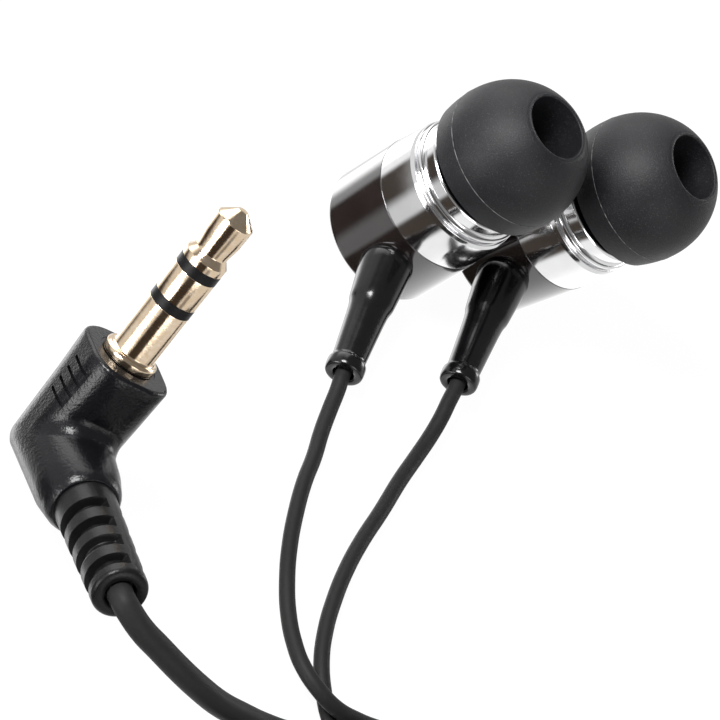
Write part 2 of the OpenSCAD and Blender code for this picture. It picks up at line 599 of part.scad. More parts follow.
cord(left_path, ear_d);  // left_cord
cord(right_path, ear_d);  // right_cord
wound(left_coil, ear_d);  // left_cord_coil
wound(right_coil, ear_d);  // right_cord_coil
cord(left_tail, ear_d);  // left_cord_tail
cord(right_tail, ear_d);  // right_cord_tail
cord_splitter();
cord(main_path, main_d);  // main_cord
wound(big_coil, main_d);  // main_cord_coil
cord(main_tail, main_d);  // main_cord_tail
main_coil_tie();
ear_coil_tie();
plug_frame() tip_contact();
plug_frame() ring_contact();
plug_frame() sleeve_contact();
plug_frame() front_insulator();
plug_frame() rear_insulator();
plug_frame() plug_body();
plug_frame() plug_boot();
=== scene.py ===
import math
import bpy
from mathutils import Matrix, Vector


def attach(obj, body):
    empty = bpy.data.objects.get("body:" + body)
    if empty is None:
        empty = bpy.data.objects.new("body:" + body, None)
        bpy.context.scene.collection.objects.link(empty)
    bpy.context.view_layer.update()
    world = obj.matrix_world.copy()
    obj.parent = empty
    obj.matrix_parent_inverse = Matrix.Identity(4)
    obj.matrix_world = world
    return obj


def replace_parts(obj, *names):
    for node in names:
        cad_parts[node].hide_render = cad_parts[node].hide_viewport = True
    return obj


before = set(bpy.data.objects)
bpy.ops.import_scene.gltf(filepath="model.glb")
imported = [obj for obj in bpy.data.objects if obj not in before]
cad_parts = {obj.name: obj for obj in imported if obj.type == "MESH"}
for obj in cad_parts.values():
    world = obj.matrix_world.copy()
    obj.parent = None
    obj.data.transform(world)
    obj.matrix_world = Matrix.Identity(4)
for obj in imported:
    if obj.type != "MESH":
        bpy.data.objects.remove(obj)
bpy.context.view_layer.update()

MM = 0.001
TINY = 1e-6
MAIN_BODY = "earphones"
SIDES = "left", "right"


# ---------------------------------------------------------------- camera

CAMERA_AT = Vector((-143.33, -325.68, 298.12))
CAMERA_RIGHT, CAMERA_UP = Vector((0.69685, 0.30399, 0.6496)), Vector((-0.64758, 0.65599, 0.38771))


def make_camera():
    data = bpy.data.cameras.new("studio_camera")
    data.sensor_width = 36
    data.lens = 285.6
    data.clip_start, data.clip_end = 0.02, 10
    camera = bpy.data.objects.new("studio_camera", data)
    bpy.context.scene.collection.objects.link(camera)
    axes = Matrix((CAMERA_RIGHT, CAMERA_UP, CAMERA_RIGHT.cross(CAMERA_UP))).transposed().to_4x4()
    camera.matrix_world = Matrix.Translation(CAMERA_AT * MM) @ axes
    bpy.context.scene.camera = camera


# ---------------------------------------------------------------- sizes shared by the pieces, mm

LEFT_AT = Vector((-5.75, 1.701, 0))
RIGHT_AT = LEFT_AT + Vector((9.05, 7.55, 0.829))
RIGHT_LEAN = 9
TABLE = LEFT_AT + Vector((6.15, -1.15, 0))
REAR_R, REAR_H, BARREL_H, BARREL_FRONT_R = 5.85, 6.7, 3.8, 5.53
BARREL_TOP = REAR_H + BARREL_H
NOSE_TOP = BARREL_TOP + 2.9
TUBE_TOP = NOSE_TOP + 3.5
TIP_R, TIP_Z, SKIRT_H, DOME_H, TIP_BORE = 6.1, NOSE_TOP + 0.1, 2.1, 5.7, 2.67
STEM_LEN, STEM_ROOT_Z, STEM_DROP, STEM_TURN = 11.1, 3.3, 8.5, 7
EAR_D, MAIN_D = 1.3, 2.0
PLUG_AT = TABLE + Vector((-26, -40.1, 12.268))
PLUG_HEADING, PLUG_LEAN = -69.2, 28.1
ELBOW_DROP, BARREL_B, BOOT_LEN = 9.45, 7.0, 10.7
BOOT_B = BARREL_B + 1


def turn(degrees, axis):
    return Matrix.Rotation(math.radians(degrees), 4, axis)


PLUG = Matrix.Translation(PLUG_AT) @ turn(PLUG_HEADING, "Z") @ turn(-PLUG_LEAN, "Y")


def bud_place(side):
    """The left earpiece stands upright. The right one leans on the edge of its rear shell."""
    if side == "left":
        return Matrix.Translation(LEFT_AT)
    return Matrix.Translation(RIGHT_AT) @ turn(RIGHT_LEAN, "Y")


def stem_place(side):
    return (bud_place(side) @ Matrix.Translation((0, -REAR_R, STEM_ROOT_Z))
            @ turn(STEM_TURN, "Z") @ turn(90 + STEM_DROP, "X"))


# ---------------------------------------------------------------- cords

def stem_point(side, s):
    return stem_place(side) @ Vector((0, 0, s))


def smooth(x):
    t = max(0, min(1, x))
    return t * t * (3 - 2 * t)


LAYERS, TURN_STEPS = 4, 24


def coil(mid, z, out, step, per, rise, lane):
    """Clockwise turns that spiral in and out, and climb to the next layer round each reversal.

    mid and z are the first layer's middle, out its outer radius, step the pitch of the spiral, per the
    turns in a layer, rise the height of a layer and lane the cord's shift from the middle of its pair.
    """
    points = []
    for i in range(round(TURN_STEPS * LAYERS * per) + 1):
        t = i / TURN_STEPS
        k = min(int(t / per), LAYERS - 1)
        f = t - k * per
        r = out + lane - step * (f if k % 2 == 0 else per - f)
        a = math.radians(90 - 360 * t)
        climb = sum(smooth((t - j * per + 0.25) * 2) for j in range(1, LAYERS))
        points.append(Vector((mid[0] + r * math.cos(a), mid[1] + r * math.sin(a), z + rise * climb)))
    return points


TIE_T = 0.35
EAR_PITCH, MAIN_PITCH = EAR_D + 0.5, MAIN_D + 0.5
MAIN_MID, EAR_MID = (17 + TABLE.x, -61.5 + TABLE.y), (35 + TABLE.x, -37.8 + TABLE.y)
MAIN_OUT, EAR_OUT, MAIN_TURNS, EAR_TURNS = 14.2, 9.9, 10.25, 5.25
MAIN_Z, EAR_Z = MAIN_D / 2 + TIE_T, EAR_D / 2 + TIE_T
SPLIT_X, SPLIT_Y, SPLIT_LEN, SPLIT_T = 44.9 + TABLE.x, -55 + TABLE.y, 14, 3.5

LEFT_ROUTE = [
    (-4.55, -16.9, 1.4), (-4.25, -18.9, 1), (-3.95, -21, 0.7), (-3.6, -23.6, 0.65), (-3.45, -26.4, 0.65),
    (-3, -29.5, 0.65), (-2.3, -32.6, 0.65), (-1.3, -35.5, 0.65), (0, -38.2, 0.7), (1.4, -40.6, 1.1),
    (2.6, -42.2, 1.6), (4.4, -43.35, 2.05), (6.3, -43.6, 2.1), (8.4, -43, 2.05), (10.8, -41.6, 1.6),
    (13.4, -39.9, 1.1), (16, -38.1, 0.8), (18.6, -36.1, 0.7), (21.2, -33.9, 0.7), (23.8, -31.7, 0.75),
    (26.4, -29.7, 0.85), (29.2, -28.1, 0.95), (31.4, -27.3, 1)]
RIGHT_ROUTE = [
    (4.6, -9.8, 1.9), (4.75, -11.4, 1.5), (4.8, -13.2, 1), (4.55, -15.8, 0.7), (4.1, -19, 0.65),
    (3.7, -23, 0.65), (3.2, -27, 0.65), (3, -30.4, 0.65), (3.1, -33.6, 0.65), (3.5, -36.8, 0.65),
    (4.3, -39.6, 0.65), (5.5, -41.8, 0.65), (7, -43.6, 0.65), (9, -44.7, 0.65), (11.4, -44.3, 0.65),
    (13.8, -42.8, 0.65), (16.4, -40.8, 0.65), (19, -38.7, 0.65), (21.6, -36.5, 0.65), (24.2, -34.2, 0.7),
    (26.8, -32, 0.8), (29.4, -30.2, 0.9), (31.6, -29.2, 1)]
LEFT_TAIL = [(45.8, -42, 6.3), (45.8, -45, 5.4), (45.8, -48, 3.9), (45.8, -50.6, 2.5), (45.8, -52.8, 1.85)]
RIGHT_TAIL = [(x - 1.8, y, z) for x, y, z in LEFT_TAIL]
MAIN_ROUTE = [
    (-17.5, -60.7, 13.1), (-16, -61, 12.9), (-13.9, -60.85, 12.5), (-11.5, -60.6, 12), (-9.1, -60, 11.3),
    (-6.7, -59, 10.4), (-4.4, -57.7, 9.6), (-2.2, -56.4, 8.9), (0.6, -54.6, 8.3), (3.6, -52.1, 8),
    (6.8, -49.8, 8.1), (10.2, -48, 8.5), (12.9, -47.4, 8.8)]
MAIN_TAIL = [
    (31.3, -66.2, 1.35), (32.2, -69.4, 1.3), (34.4, -72.2, 1.3), (37.8, -73.8, 1.4), (41.2, -73.6, 1.6),
    (43.8, -72.1, 1.75)]


def on_table(route):
    return [Vector(p) + TABLE for p in route]


def ear_cord_points(side):
    lane = EAR_PITCH / 2 if side == "left" else -EAR_PITCH / 2
    turns = coil(EAR_MID, EAR_Z, EAR_OUT, 2 * EAR_PITCH, EAR_TURNS / LAYERS, EAR_PITCH, lane)
    route, tail = (LEFT_ROUTE, LEFT_TAIL) if side == "left" else (RIGHT_ROUTE, RIGHT_TAIL)
    return ([stem_point(side, STEM_LEN - 1), stem_point(side, STEM_LEN + 0.4)] + on_table(route)
            + [turns[0] - Vector((EAR_D, 0, 0))] + turns + [turns[-1] - Vector((0, EAR_D, 0))]
            + on_table(tail) + [Vector((SPLIT_X + lane, SPLIT_Y - 0.8, SPLIT_T / 2))])


def main_cord_points():
    """From the splitter, through the coil and up into the boot."""
    turns = coil(MAIN_MID, MAIN_Z + (LAYERS - 1) * MAIN_PITCH, MAIN_OUT, MAIN_PITCH, MAIN_TURNS / LAYERS,
                 -MAIN_PITCH, 0)
    boot = [PLUG @ Vector((BOOT_B + BOOT_LEN + s, 0, -ELBOW_DROP)) for s in (-0.8, 0.7)]
    end = Vector((SPLIT_X, SPLIT_Y - SPLIT_LEN + 0.8, SPLIT_T / 2))
    there = (boot + on_table(MAIN_ROUTE) + [turns[0] - Vector((MAIN_D, 0, 0))] + turns
             + [turns[-1] - Vector((0, MAIN_D, 0))] + on_table(MAIN_TAIL)
             + [end - Vector((0, 2.2, 0)), end])
    return there[::-1]


def curve_length(points):
    return sum((b - a).length for a, b in zip(points, points[1:]))


def make_cord(name, points, diameter):
    data = bpy.data.curves.new(name, "CURVE")
    data.dimensions = "3D"
    data.resolution_u = 5
    data.bevel_depth = 1.0  # times each point's radius, which also sets how far the curve's box reaches
    data.bevel_resolution = 5
    data.use_fill_caps = True
    spline = data.splines.new("BEZIER")
    spline.bezier_points.add(len(points) - 1)
    for knot, point in zip(spline.bezier_points, points):
        knot.co = point * MM
        knot.handle_left_type = knot.handle_right_type = "AUTO"
        knot.radius = diameter / 2 * MM
    cord = bpy.data.objects.new(name, data)
    bpy.context.scene.collection.objects.link(cord)
    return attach(cord, MAIN_BODY)


def make_cords():
    """The three jackets with their points."""
    made = []
    for side in SIDES:
        points = ear_cord_points(side)
        cord = make_cord(f"{side}_ear_jacket", points, EAR_D)
        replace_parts(cord, f"{side}_cord", f"{side}_cord_coil", f"{side}_cord_tail")
        made.append((cord, points))
    points = main_cord_points()
    cord = make_cord("main_jacket", points, MAIN_D)
    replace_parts(cord, "main_cord", "main_cord_coil", "main_cord_tail")
    made.append((cord, points))
    for cord, _ in made:
        cord.data.materials.append(FINISH["jacket"])
    return made


def declare_cord(cord, points, diameter, far_end, pieces):
    points[0] * MM
    curve_length(points) * MM
    diameter * MM


# ---------------------------------------------------------------- mesh tools

def arc(cx, cy, r, a0, a1, n):
    return [(cx + r * math.cos(math.radians(a0 + (a1 - a0) * i / n)),
             cy + r * math.sin(math.radians(a0 + (a1 - a0) * i / n))) for i in range(n + 1)]


def eased(outline, radius, n=4):
    """A closed outline with each corner rounded by a radius, or by one of its own as a third number."""
    nearly_straight, most_of_edge = math.radians(84), 0.45
    result = []
    for i, corner in enumerate(outline):
        a, b, c = Vector(outline[i - 1][:2]), Vector(corner[:2]), Vector(outline[(i + 1) % len(outline)][:2])
        r = corner[2] if len(corner) > 2 else radius
        u, v = a - b, c - b
        if r <= 0 or b.x <= 0 or u.length < TINY or v.length < TINY or u.angle(v) / 2 > nearly_straight:
            result.append((b.x, b.y))
            continue
        reach = min(r / math.tan(u.angle(v) / 2), most_of_edge * u.length, most_of_edge * v.length)
        u, v = u.normalized(), v.normalized()
        for k in range(n + 1):
            t = k / n
            p = (b + u * reach).lerp(b, t).lerp(b.lerp(b + v * reach, t), t)
            result.append((p.x, p.y))
    return result


def finish_mesh(name, vertices, faces, place, finish, body=MAIN_BODY, sharp=40):
    mesh = bpy.data.meshes.new(name)
    mesh.from_pydata([place @ Vector(v) * MM for v in vertices], [], faces)
    mesh.validate()
    mesh.polygons.foreach_set("use_smooth", [True] * len(mesh.polygons))
    mesh.set_sharp_from_angle(angle=math.radians(sharp))
    mesh.materials.append(FINISH[finish])
    piece = bpy.data.objects.new(name, mesh)
    bpy.context.scene.collection.objects.link(piece)
    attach(piece, body)
    return piece


def oval(a, b, z, n):
    """A level ring of n points with half widths a and b."""
    return [(a * math.cos(2 * math.pi * k / n), b * math.sin(2 * math.pi * k / n), z) for k in range(n)]


def lathe_data(outline, steps=160):
    """Vertices and faces of a closed outline of (radius, height), counter-clockwise, turned about +Z."""
    vertices, rows, faces = [], [], []
    for r, z in outline:
        rows.append(len(vertices))
        vertices += oval(r, r, z, steps) if r >= TINY else [(0, 0, z)]
    count = len(outline)
    for i in range(count):
        (ra, _), (rb, _) = outline[i], outline[(i + 1) % count]
        a, b = rows[i], rows[(i + 1) % count]
        for k in range(steps):
            n = (k + 1) % steps
            if ra < TINY and rb < TINY:
                break
            if ra < TINY:
                faces.append((a, b + n, b + k))
            elif rb < TINY:
                faces.append((a + k, a + n, b))
            else:
                faces.append((a + k, a + n, b + n, b + k))
    return vertices, faces


def lathe(name, outline, place, finish, body=MAIN_BODY, sharp=40):
    vertices, faces = lathe_data(outline)
    return finish_mesh(name, vertices, faces, place, finish, body, sharp)


def loft_data(rings):
    """Vertices and faces of a solid through rings of as many points each, with a flat cap at either end."""
    m = len(rings[0])
    vertices = [p for ring in rings for p in ring]
    faces = [tuple(range(m))[::-1], tuple((len(rings) - 1) * m + k for k in range(m))]
    for i in range(len(rings) - 1):
        for j in range(m):
            k = (j + 1) % m
            faces.append((i * m + j, i * m + k, (i + 1) * m + k, (i + 1) * m + j))
    return vertices, faces


def round_rect(w, f, r, n=9, guard=0.0):
    """A rounded rectangle with half widths w and f.

    With a guard, each corner has one more point on either side, that far along the flats.
    """
    points = []
    for q in range(4):
        cx = (w - r) * (1 if q in (0, 3) else -1)
        cy = (f - r) * (1 if q < 2 else -1)
        corner = arc(cx, cy, r, 90 * q, 90 * q + 90, n)
        if guard:
            (ax, ay), (bx, by) = corner[0], corner[-1]
            gx, gy = min(guard, 0.8 * (w - r)), min(guard, 0.8 * (f - r))
            dx, dy = [(0, -gy), (gx, 0), (0, gy), (-gx, 0)][q]
            ex, ey = [(-gx, 0), (0, -gy), (gx, 0), (0, gy)][q]
            corner = [(ax + dx, ay + dy)] + corner + [(bx + ex, by + ey)]
        points += corner
    return points


# ---------------------------------------------------------------- shader tools

class Val:
    """A number or colour socket that can be used in sums."""

    def __init__(self, finish, socket):
        self.finish, self.socket = finish, socket

    def math(self, operation, a, b):
        return self.finish.node("ShaderNodeMath", {"operation": operation}, {0: a, 1: b})

    def __add__(self, other):
        return self.math("ADD", self, other)

    def __radd__(self, other):
        return self.math("ADD", other, self)

    def __sub__(self, other):
        return self.math("SUBTRACT", self, other)

    def __rsub__(self, other):
        return self.math("SUBTRACT", other, self)

    def __mul__(self, other):
        return self.math("MULTIPLY", self, other)

    def __rmul__(self, other):
        return self.math("MULTIPLY", other, self)

    def step(self, low, high):
        """0 below low, 1 above high, smooth between them."""
        return self.finish.node("ShaderNodeMapRange", {"interpolation_type": "SMOOTHSTEP", "clamp": True},
                                {"Value": self, "From Min": low, "From Max": high})


class Finish:
    """A node tree and the few nodes that the finishes are built from."""

    def __init__(self, tree):
        self.tree = tree
        tree.nodes.clear()

    def node(self, kind, settings=None, inputs=None, out=0):
        """A new node with its settings, and numbers or links on its inputs. Gives one of its outputs."""
        node = self.tree.nodes.new(kind)
        for key, value in (settings or {}).items():
            setattr(node, key, value)
        for key, value in (inputs or {}).items():
            if isinstance(value, Val):
                self.tree.links.new(value.socket, node.inputs[key])
            else:
                node.inputs[key].default_value = value
        return Val(self, node.outputs[out]) if node.outputs else None

    def place(self, scale):
        """Position in the row frame, in millimetres over scale."""
        where = self.node("ShaderNodeTexCoord", out="Object")
        return self.node("ShaderNodeVectorMath", {"operation": "SCALE"}, {0: where, "Scale": 1000 / scale})

    def noise(self, size, detail, rough=0.55):
        """Noise with features of about that size in millimetres."""
        inputs = {"Vector": self.place(size), "Scale": 1, "Detail": detail, "Roughness": rough}
        return self.node("ShaderNodeTexNoise", {"noise_dimensions": "3D"}, inputs, "Fac")

    def mix(self, factor, a, b):
        """Colour a where factor is 0 and b where it is 1."""
        shade = [(*c, 1) if isinstance(c, tuple) else c for c in (a, b)]
        return self.node("ShaderNodeMix", {"data_type": "RGBA"}, {0: factor, 6: shade[0], 7: shade[1]}, out=2)

    def bump(self, height, depth):
        """Bump of that depth in millimetres."""
        return self.node("ShaderNodeBump", {}, {"Height": height, "Distance": depth * MM})

    def surface(self, **sockets):
        """The shader and the material's output. Underscores in names stand for spaces."""
        inputs = {name.replace("_", " "): value for name, value in sockets.items()}
        shader = self.node("ShaderNodeBsdfPrincipled", {}, inputs)
        self.node("ShaderNodeOutputMaterial", {}, {"Surface": shader})


def material(name):
    made = bpy.data.materials.new(name)
    made.use_nodes = True
    return made, Finish(made.node_tree)


def grey(v):
    return (v, v, v, 1)


# ---------------------------------------------------------------- finishes

def piano_black():
    made, f = material("piano_black")
    haze = f.noise(2.5, 4)
    f.surface(Base_Color=f.mix(haze.step(0.3, 0.8), (0.011, 0.0075, 0.0075), (0.016, 0.011, 0.0105)),
              Roughness=0.1 + 0.06 * haze, Normal=f.bump(f.noise(1.2, 2), 0.004), IOR=1.5,
              Specular_IOR_Level=1.0, Coat_Weight=1.0, Coat_IOR=1.5, Coat_Roughness=0.05)
    return made


def chrome():
    made, f = material("bright_chrome")
    turned = f.noise(0.8, 3)
    f.surface(Base_Color=f.mix(turned, (0.8, 0.8, 0.81), (0.88, 0.88, 0.885)), Metallic=1.0,
              Roughness=0.09 + 0.06 * turned, Normal=f.bump(f.noise(1.5, 2), 0.003))
    return made


def gold():
    made, f = material("gold_plate")
    wear = f.noise(0.5, 4, 0.65)
    f.surface(Base_Color=f.mix(wear.step(0.35, 0.75), (0.8, 0.62, 0.43), (0.88, 0.73, 0.56)), Metallic=1.0,
              Roughness=0.07 + 0.1 * wear, Normal=f.bump(f.noise(0.25, 4, 0.7), 0.007))
    return made


def steel(name, shade, grain):
    made, f = material(name)
    turned = f.noise(grain, 4)
    f.surface(Base_Color=f.mix(turned, tuple(0.85 * c for c in shade), shade), Metallic=1.0,
              Roughness=0.22 + 0.16 * turned, Normal=f.bump(f.noise(0.2, 3), 0.005))
    return made


def silicone():
    made, f = material("tip_silicone")
    bloom, dust = f.noise(1.8, 5, 0.6), f.noise(0.09, 2, 0.5)
    shade = f.mix(bloom.step(0.35, 0.7), (0.0062, 0.0062, 0.0078), (0.0092, 0.0092, 0.0114))
    f.surface(Base_Color=f.mix(dust.step(0.58, 0.76) * 0.75, shade, (0.065, 0.065, 0.07)),
              Roughness=0.44 + 0.14 * bloom, Normal=f.bump(f.noise(0.12, 4, 0.6), 0.03),
              Specular_IOR_Level=0.35)
    return made


def seam():
    made, f = material("parting_line_painted_glint")
    # The lighter patches along the moulding line are a painted highlight: light caught on the thin ridge,
    # laid into its colour.
    glint_patches = f.noise(0.5, 3)
    f.surface(Base_Color=f.mix(glint_patches.step(0.35, 0.65), (0.03, 0.03, 0.032), (0.2, 0.2, 0.2)),
              Roughness=0.55 + 0.1 * glint_patches, Normal=f.bump(f.noise(0.1, 3), 0.01))
    return made


def stem_rubber():
    made, f = material("stem_elastomer")
    flow = f.noise(1.2, 3)
    f.surface(Base_Color=f.mix(flow, (0.0025, 0.0022, 0.0027), (0.005, 0.0045, 0.005)),
              Roughness=0.12 + 0.1 * flow, Normal=f.bump(f.noise(0.9, 2), 0.012), Specular_IOR_Level=0.5)
    return made


def jacket():
    made, f = material("cord_jacket")
    skin, specks = f.noise(0.35, 4, 0.6), f.noise(0.08, 2)
    f.surface(Base_Color=f.mix(skin, (0.0155, 0.0152, 0.0152), (0.024, 0.0236, 0.0236)),
              Roughness=0.45 + 0.14 * skin, Normal=f.bump(skin * 0.6 + specks * 0.4, 0.012),
              Specular_IOR_Level=0.12)
    return made


def spark_plastic():
    made, f = material("spark_textured_plastic")
    grain, pits = f.noise(0.22, 2, 0.5), f.noise(0.5, 3, 0.6)
    f.surface(Base_Color=f.mix(grain, (0.0036, 0.0036, 0.0046), (0.007, 0.007, 0.0085)),
              Roughness=0.17 + 0.14 * pits, Normal=f.bump(grain * 0.7 + pits * 0.3, 0.045),
              Specular_IOR_Level=0.3)
    return made


def boot_rubber():
    made, f = material("boot_rubber")
    skin = f.noise(0.4, 4, 0.6)
    f.surface(Base_Color=f.mix(skin, (0.005, 0.005, 0.0055), (0.0095, 0.0093, 0.0095)),
              Roughness=0.24 + 0.16 * skin, Normal=f.bump(f.noise(0.2, 3), 0.02), Specular_IOR_Level=0.22)
    return made


def band_plastic():
    made, f = material("insulating_band")
    skin = f.noise(0.3, 3)
    f.surface(Base_Color=f.mix(skin, (0.006, 0.0055, 0.006), (0.011, 0.0105, 0.011)),
              Roughness=0.3 + 0.14 * skin, Normal=f.bump(f.noise(0.12, 3), 0.006), Specular_IOR_Level=0.15)
    return made


def bands(f, where, direction):
    return f.node("ShaderNodeTexWave", {"wave_type": "BANDS", "bands_direction": direction},
                  {"Vector": where, "Scale": 1.0, "Distortion": 0})


def woven_steel():
    made, f = material("woven_steel")
    where = f.place(0.22)
    # The dark, non-metal gaps between the wires are painted shade, standing for the shaded openings into the
    # nozzle.
    wires = (bands(f, where, "X") * 0.5 + bands(f, where, "Y") * 0.5).step(0.35, 0.75)
    f.surface(Base_Color=f.mix(wires, (0.01, 0.01, 0.011), (0.3, 0.3, 0.31)), Metallic=wires * 0.9,
              Roughness=0.4 + 0.1 * wires, Normal=f.bump(wires, 0.03))
    return made


def moulded(name, low, high, rough):
    made, f = material(name)
    skin = f.noise(0.4, 4)
    f.surface(Base_Color=f.mix(skin, low, high), Roughness=rough + 0.12 * skin,
              Normal=f.bump(f.noise(0.15, 3), 0.008))
    return made


def copper():
    made, f = material("enamelled_copper")
    turns = bands(f, f.place(0.1), "Z")
    # The darker bands between the turns are painted shade in the grooves, and the lighter bands are a painted
    # highlight on each turn's crest.
    f.surface(Base_Color=f.mix(turns, (0.28, 0.1, 0.04), (0.6, 0.27, 0.12)), Metallic=0.8,
              Roughness=0.25 + 0.1 * turns, Normal=f.bump(turns, 0.01))
    return made


def felt():
    made, f = material("damping_felt")
    fibre = f.noise(0.12, 5, 0.7)
    f.surface(Base_Color=f.mix(fibre, (0.5, 0.47, 0.4), (0.78, 0.76, 0.7)), Roughness=0.85 + 0.1 * fibre,
              Normal=f.bump(fibre, 0.05))
    return made


FINISH = {
    "piano": piano_black(), "chrome": chrome(), "gold": gold(), "silicone": silicone(), "seam": seam(),
    "stem": stem_rubber(), "jacket": jacket(), "spark": spark_plastic(), "boot": boot_rubber(),
    "band": band_plastic(), "mesh": woven_steel(), "copper": copper(), "felt": felt(),
    "frame": moulded("driver_frame_plastic", (0.028, 0.028, 0.03), (0.05, 0.05, 0.052), 0.45),
    "film": moulded("diaphragm_film", (0.42, 0.43, 0.46), (0.55, 0.56, 0.6), 0.3),
    "strap": moulded("tie_strap", (0.02, 0.02, 0.021), (0.04, 0.04, 0.042), 0.55),
    "splitter": moulded("splitter_plastic", (0.014, 0.014, 0.015), (0.024, 0.024, 0.026), 0.35),
    "zinc": steel("zinc_plated_steel", (0.55, 0.56, 0.58), 0.5),
    "magnet": steel("plated_magnet", (0.4, 0.4, 0.42), 0.8),
}


# ---------------------------------------------------------------- earpieces

REAR_BORE, REAR_FLOOR, SPIGOT_R, SPIGOT_H, BARREL_BORE, LIP_BORE, LIP_H = 5.1, 1, 5.05, 1, 4.65, 4.2, 1.2
SOUND_BORE, SEAT_R, SEAT_H, BEAD_R, BEAD_ROUND = 1.6, 4.15, 0.8, 5.45, 0.22
TUBE_R, BARB_R, BARB_H, MESH_SEAT_R, MESH_SEAT_H = 2.3, 2.62, 1.6, 1.9, 0.4


def make_shell(side):
    """The rear shell, the barrel and the nozzle."""
    place = bud_place(side)
    shell = lathe(f"{side}_shell", eased([
        (0, 0), (REAR_R, 0, 0.6), (REAR_R, REAR_H, 0.08), (REAR_BORE, REAR_H, 0.05), (REAR_BORE, REAR_FLOOR),
        (0, REAR_FLOOR)], 0, 8), place, "piano")
    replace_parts(shell, f"{side}_rear_housing")
    barrel = lathe(f"{side}_barrel", eased([
        (BARREL_BORE, REAR_H - SPIGOT_H), (SPIGOT_R, REAR_H - SPIGOT_H), (SPIGOT_R, REAR_H),
        (REAR_R - 0.02, REAR_H, 0.05), (BARREL_FRONT_R + 0.12, BARREL_TOP - 0.4, 0.2),
        (BARREL_FRONT_R, BARREL_TOP, 0.08), (LIP_BORE, BARREL_TOP), (LIP_BORE, BARREL_TOP - LIP_H),
        (BARREL_BORE, BARREL_TOP - LIP_H)], 0), place, "chrome")
    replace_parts(barrel, f"{side}_front_housing")
    outline = ([(SOUND_BORE, BARREL_TOP - SEAT_H), (SEAT_R, BARREL_TOP - SEAT_H), (SEAT_R, BARREL_TOP),
                (BEAD_R - 0.3, BARREL_TOP), (BEAD_R - 0.3, BARREL_TOP + 0.2)]
               + arc(BEAD_R - BEAD_ROUND, BARREL_TOP + 0.45, BEAD_ROUND, -90, 90, 10)
               + [(BEAD_R - 0.35, BARREL_TOP + 0.8), (BEAD_R - 0.35, BARREL_TOP + 0.95)]
               + arc(BEAD_R - 0.75, NOSE_TOP - 1.3, 0.6, 30, 70, 8)
               + [(3.9, NOSE_TOP), (TUBE_R, NOSE_TOP), (TUBE_R, TUBE_TOP - BARB_H),
                  (BARB_R, TUBE_TOP - BARB_H), (BARB_R, TUBE_TOP - 1.2), (2.25, TUBE_TOP),
                  (MESH_SEAT_R, TUBE_TOP), (MESH_SEAT_R, TUBE_TOP - MESH_SEAT_H),
                  (SOUND_BORE, TUBE_TOP - MESH_SEAT_H)])
    nozzle = lathe(f"{side}_nose", eased(outline, 0.04, 3), place, "chrome")
    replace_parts(nozzle, f"{side}_nozzle")


DOME_ARC, SKIRT_FLARE, TIP_WALL, TIP_CORE_WALL, TIP_LIP = 61.5, 0.2, 0.45, 0.65, 0.16


def tip_outline(shrink):
    """The skirt and the dome, from the mouth up, moved in by shrink."""
    steps = 40
    points = [(TIP_R - SKIRT_FLARE * (1 - i / 4) ** 2 - shrink, TIP_Z + SKIRT_H * i / 4) for i in range(5)]
    scale = (DOME_H - shrink) / math.sin(math.radians(DOME_ARC))
    for i in range(1, steps + 1):
        a = math.radians(DOME_ARC * i / steps)
        points.append(((TIP_R - shrink) * math.cos(a), TIP_Z + SKIRT_H + scale * math.sin(a)))
    return points


def make_tip(side):
    """The tip with a hollow between its skirt and its core, and the moulding line round its widest part."""
    core = TIP_BORE + TIP_CORE_WALL
    inside = [p for p in tip_outline(TIP_WALL) if p[0] > core + 0.5]
    roof = inside[-1][1]
    top = TIP_Z + SKIRT_H + DOME_H
    outside = tip_outline(0)
    outside[-1] = (outside[-1][0] - 0.02, outside[-1][1] - 0.05)
    outline = (inside[::-1] + outside + arc(TIP_BORE + TIP_LIP, top - TIP_LIP, TIP_LIP, 80, 180, 6)
               + [(TIP_BORE, TIP_Z), (core, TIP_Z), (core, roof - 0.6), (core + 0.25, roof)])
    tip = lathe(f"{side}_silicone_tip", outline, bud_place(side), "silicone", f"{side}_tip", 50)
    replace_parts(tip, f"{side}_ear_tip")
    lathe(f"{side}_tip_seam", arc(TIP_R - 0.012, TIP_Z + SKIRT_H, 0.035, 0, 315, 7), bud_place(side), "seam",
          f"{side}_tip", 60)


# Distance from the shell, width and height. The last rings go back into the bore that takes the cord.
STEM_STATIONS = [
    (-0.55, 3.9, 4.15), (-0.3, 4.2, 4.45), (0, 4.33, 4.57), (0.6, 4.27, 4.44), (1.2, 4.16, 4.28),
    (1.8, 4.07, 4.14), (2.4, 3.98, 4.0), (3.1, 3.87, 3.83), (3.6, 3.79, 3.71), (3.95, 3.7, 3.6),
    (4.15, 3.58, 3.48), (4.4, 3.45, 3.36), (4.75, 3.33, 3.25), (5.5, 3.21, 3.14), (7, 3.04, 2.99),
    (8.5, 2.88, 2.85), (9.6, 2.76, 2.76), (9.82, 2.74, 2.74), (9.9, 2.9, 2.9), (9.96, 3.06, 3.06),
    (10.08, 3.16, 3.16), (10.25, 3.2, 3.2), (10.7, 3.2, 3.2), (10.95, 3.12, 3.12), (11.06, 2.98, 2.98),
    (11.1, 2.8, 2.8), (11.1, 1.9, 1.9), (11.04, 1.76, 1.76), (10.9, 1.7, 1.7), (10.1, 1.7, 1.7)]


def make_stem(side):
    vertices, faces = loft_data([oval(w / 2, h / 2, s, 64) for s, w, h in STEM_STATIONS])
    piece = finish_mesh(f"{side}_strain_relief", vertices, faces, stem_place(side), "stem", sharp=60)
    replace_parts(piece, f"{side}_stem")


# ---------------------------------------------------------------- plug

